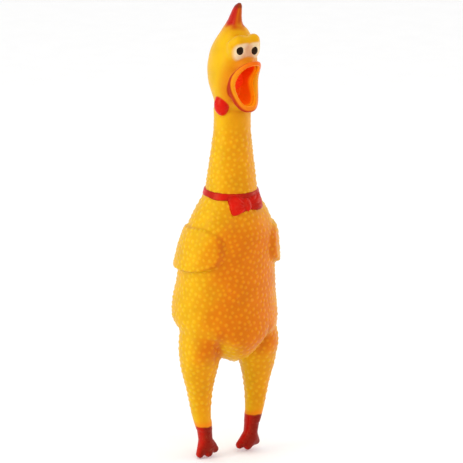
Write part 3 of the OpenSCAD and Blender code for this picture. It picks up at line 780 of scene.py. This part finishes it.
class Nodes:
    """Short hand for building a node tree."""

    def __init__(self, name):
        self.material = bpy.data.materials.new(name)
        self.material.use_nodes = True
        self.tree = self.material.node_tree
        self.skin = self.tree.nodes["Principled BSDF"]

    def add(self, kind, values=(), **settings):
        node = self.tree.nodes.new("ShaderNode" + kind)
        for k, v in settings.items():
            setattr(node, k, v)
        for socket, value in dict(values).items():
            if isinstance(value, bpy.types.NodeSocket):
                self.tree.links.new(value, node.inputs[socket])
            else:
                node.inputs[socket].default_value = value
        return node

    def noise(self, place, scale, detail=2.0, rough=0.5):
        values = {"Vector": place, "Scale": scale, "Detail": detail, "Roughness": rough}
        return self.add("TexNoise", values).outputs[0]

    def math(self, operation, a, b, c=None):
        values = {0: a, 1: b}
        if c is not None:
            values[2] = c
        return self.add("Math", values, operation=operation).outputs[0]

    def remap(self, value, low, high, to_low, to_high):
        return self.add("MapRange", {0: value, 1: low, 2: high, 3: to_low, 4: to_high}).outputs[0]

    def mix(self, factor, a, b, blend="MIX"):
        node = self.add("Mix", {}, data_type="RGBA", blend_type=blend)
        for socket, value in ((0, factor), (6, a), (7, b)):
            if isinstance(value, bpy.types.NodeSocket):
                self.tree.links.new(value, node.inputs[socket])
            else:
                node.inputs[socket].default_value = value
        return node.outputs[2]

    def surface(self, **inputs):
        for name, value in inputs.items():
            socket = self.skin.inputs[name.replace("_", " ")]
            if isinstance(value, bpy.types.NodeSocket):
                self.tree.links.new(value, socket)
            else:
                socket.default_value = value


def vinyl(name, rough, grain, soft_light, painted_glow=0.0):
    """Moulded vinyl whose paint, painted shade and highlights included, comes from the mesh: mottled, finely
    grained, scuffed and a little dusty.
    The glow is painted light, an emission that stands in for the light coming through the thin wall round the
    mouth."""
    m = Nodes(name)
    place = m.add("Attribute", attribute_name="rest").outputs["Vector"]
    paint_in = m.add("Attribute", attribute_name="paint").outputs["Color"]
    shine = m.add("Attribute", attribute_name="gloss").outputs["Fac"]
    mottle = m.noise(place, 0.07, 3.0)
    cloud = m.noise(place, 0.35, 4.0, 0.6)
    pores = m.noise(place, 2.3, 3.0, 0.6)
    drawn_out = {"Vector": place, "Rotation": (0.5, 0.3, 0.9), "Scale": (0.22, 1.6, 0.22)}
    stretch = m.add("Mapping", drawn_out).outputs[0]
    scuff = m.remap(m.noise(stretch, 0.55, 5.0, 0.62), 0.62, 0.74, 0.0, 1.0)
    tone = m.remap(mottle, 0.3, 0.7, 0.93, 1.05)
    base = m.mix(1.0, paint_in, m.add("CombineColor", {0: tone, 1: tone, 2: tone}).outputs[0], "MULTIPLY")
    base = m.mix(m.remap(cloud, 0.58, 0.78, 0.0, 0.10), base, (0.55, 0.20, 0.02, 1))
    base = m.mix(m.remap(pores, 0.66, 0.78, 0.0, 0.22), base, (0.32, 0.10, 0.01, 1))
    base = m.mix(m.math("MULTIPLY", scuff, 0.06), base, (1.0, 0.70, 0.26, 1))
    wear = m.math("ADD", m.remap(cloud, 0.3, 0.7, -0.06, 0.08), m.math("MULTIPLY", scuff, 0.12))
    roughness = m.math("SUBTRACT", m.math("ADD", wear, rough + 0.08), m.math("MULTIPLY", shine, 0.12))
    height = m.math("ADD", m.math("MULTIPLY", pores, 0.5), m.math("MULTIPLY", cloud, 1.0))
    relief = m.add("Bump", {"Strength": grain, "Distance": 0.00012, "Height": height}).outputs[0]
    m.surface(Base_Color=base, Roughness=roughness, Normal=relief, Specular_IOR_Level=0.2,
              Specular_Tint=(1.0, 0.75, 0.35, 1), Coat_Weight=0.03, Coat_Roughness=0.2,
              Subsurface_Weight=soft_light, Subsurface_Radius=(0.0030, 0.0012, 0.0003), Subsurface_Scale=1.0)
    if painted_glow:
        m.surface(Emission_Color=base, Emission_Strength=painted_glow)
    return m.material


# mouth_red's fourth number is its glow: painted light, an emission standing in for light coming through the
# mouth's thin wall
VINYL = {"skin": (0.36, 0.5, 0.10), "skin_soft": (0.36, 0.5, 0.10), "comb_red": (0.34, 0.4, 0.08),
         "beak_orange": (0.34, 0.4, 0.08), "mouth_red": (0.36, 0.4, 0.08, 0.3),
         "eye_white": (0.36, 0.35, 0.08),
         "pupil_black": (0.2, 0.12, 0.0), "collar_red": (0.32, 0.45, 0.05), "foot_red": (0.33, 0.45, 0.06)}
looks = {name: vinyl("vinyl_" + name, *values) for name, values in VINYL.items()}
for part, o in pieces.items():
    name = SLOTS.get(part, "skin_soft" if part in soft else "skin")
    o.data.materials.append(looks[name])


def plastic(name, tone, rough, painted_glow):
    """Moulded whistle plastic with flow lines and a little dust, and a glow of painted light."""
    m = Nodes(name)
    place = m.add("TexCoord").outputs["Object"]
    flow = m.noise(place, 260, 3.0)
    speck = m.noise(place, 1900, 2.0)
    base = m.mix(m.remap(flow, 0.3, 0.7, 0.0, 0.5), tone, tuple(0.72 * c for c in tone[:3]) + (1,))
    base = m.mix(m.remap(speck, 0.64, 0.72, 0.0, 0.5), base, (0.09, 0.02, 0.01, 1))
    relief = m.add("Bump", {"Strength": 0.35, "Distance": 0.00008, "Height": flow}).outputs[0]
    m.surface(Base_Color=base, Roughness=m.remap(speck, 0.3, 0.7, rough - 0.06, rough + 0.1), Normal=relief,
              Specular_IOR_Level=0.25, Emission_Color=base, Emission_Strength=painted_glow)
    return m.material


def lin(r, g, b):
    return (*colour(r, g, b), 1)


# each whistle part glows with painted light (an emission of 0.3), so it reads bright deep in the mouth
inner = {"throat_sleeve": ("mouth_red", plastic("throat_vinyl", lin(232, 50, 2), 0.5, 0.3)),
         "whistle_tube": ("whistle_plastic", plastic("whistle_body", lin(232, 56, 4), 0.4, 0.3))}
inner["whistle_cap"] = inner["reed_block"] = inner["reed_wedge"] = inner["whistle_tube"]
inner["reed"] = ("reed_plastic", plastic("reed_film", lin(240, 110, 20), 0.25, 0.3))
for node, (slot_name, look) in inner.items():
    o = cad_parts[node]
    o.data.materials.clear()
    o.data.materials.append(look)


# ---------------------------------------------------------------- stage, lights and camera

def plain(name, tone, rough):
    m = Nodes(name)
    grain = m.noise(m.add("TexCoord").outputs["Object"], 40, 2.0)
    darker = tuple(0.985 * c for c in tone)
    m.surface(Base_Color=m.mix(m.remap(grain, 0.3, 0.7, 0, 1), tone, darker), Roughness=rough)
    return m.material


FLOOR_HALF, FLOOR_DROP, FLOOR_TONE = 12.0, 0.0004, (0.96, 0.96, 0.96, 1)
ground = bpy.data.meshes.new("ground")
corners = [(sx * FLOOR_HALF, sy * FLOOR_HALF, TOE_Z - FLOOR_DROP)
           for sx, sy in ((-1, -1), (1, -1), (1, 1), (-1, 1))]
ground.from_pydata(corners, [], [(0, 1, 2, 3)])
ground.materials.append(plain("ground", FLOOR_TONE, 0.85))
ground = bpy.data.objects.new("ground", ground)
bpy.context.scene.collection.objects.link(ground)

world = bpy.data.worlds.new("studio")
world.use_nodes = True
sky = world.node_tree.nodes["Background"]
sky.inputs["Color"].default_value = (1, 1, 1, 1)
sky.inputs["Strength"].default_value = 1.0
bpy.context.scene.world = world
bpy.context.scene.view_settings.view_transform = "Standard"


def softbox(name, place, size, power, tone):
    lamp = bpy.data.lights.new(name, "AREA")
    lamp.shape = "RECTANGLE"
    lamp.size, lamp.size_y = size
    lamp.energy, lamp.color = power, tone
    o = bpy.data.objects.new(name, lamp)
    bpy.context.scene.collection.objects.link(o)
    o.location = place
    o.rotation_euler = (-Vector(place)).to_track_quat("-Z", "Y").to_euler()


softbox("key", (-1.25, 0.10, 0.55), (0.45, 1.1), 6, (1.0, 0.97, 0.92))
softbox("front", (-0.5, -1.5, 0.9), (0.9, 0.9), 3, (1.0, 0.98, 0.95))
softbox("rim", (1.2, -0.3, 0.3), (0.5, 1.0), 4, (1.0, 0.97, 0.93))

AZIMUTH, ELEVATION, ROLL = math.radians(-32.0), math.radians(15.0), math.radians(-0.9)
DISTANCE, LENS = 4.0, 370.3
AIM = (0.8, 194.6)      # sideways and up from the neck's axis, in mm
back = Vector((math.sin(AZIMUTH) * math.cos(ELEVATION), -math.cos(AZIMUTH) * math.cos(ELEVATION),
               math.sin(ELEVATION)))
aside = Vector((math.cos(AZIMUTH), math.sin(AZIMUTH), 0))
camera = bpy.data.objects.new("camera", bpy.data.cameras.new("camera"))
camera.data.lens = LENS
camera.location = Vector(row((0, 0, AIM[1]))) + aside * AIM[0] * MM + back * DISTANCE
camera.rotation_mode = "QUATERNION"
camera.rotation_quaternion = Quaternion(back, -ROLL) @ (-back).to_track_quat("-Z", "Y")
bpy.context.scene.collection.objects.link(camera)
bpy.context.scene.camera = camera
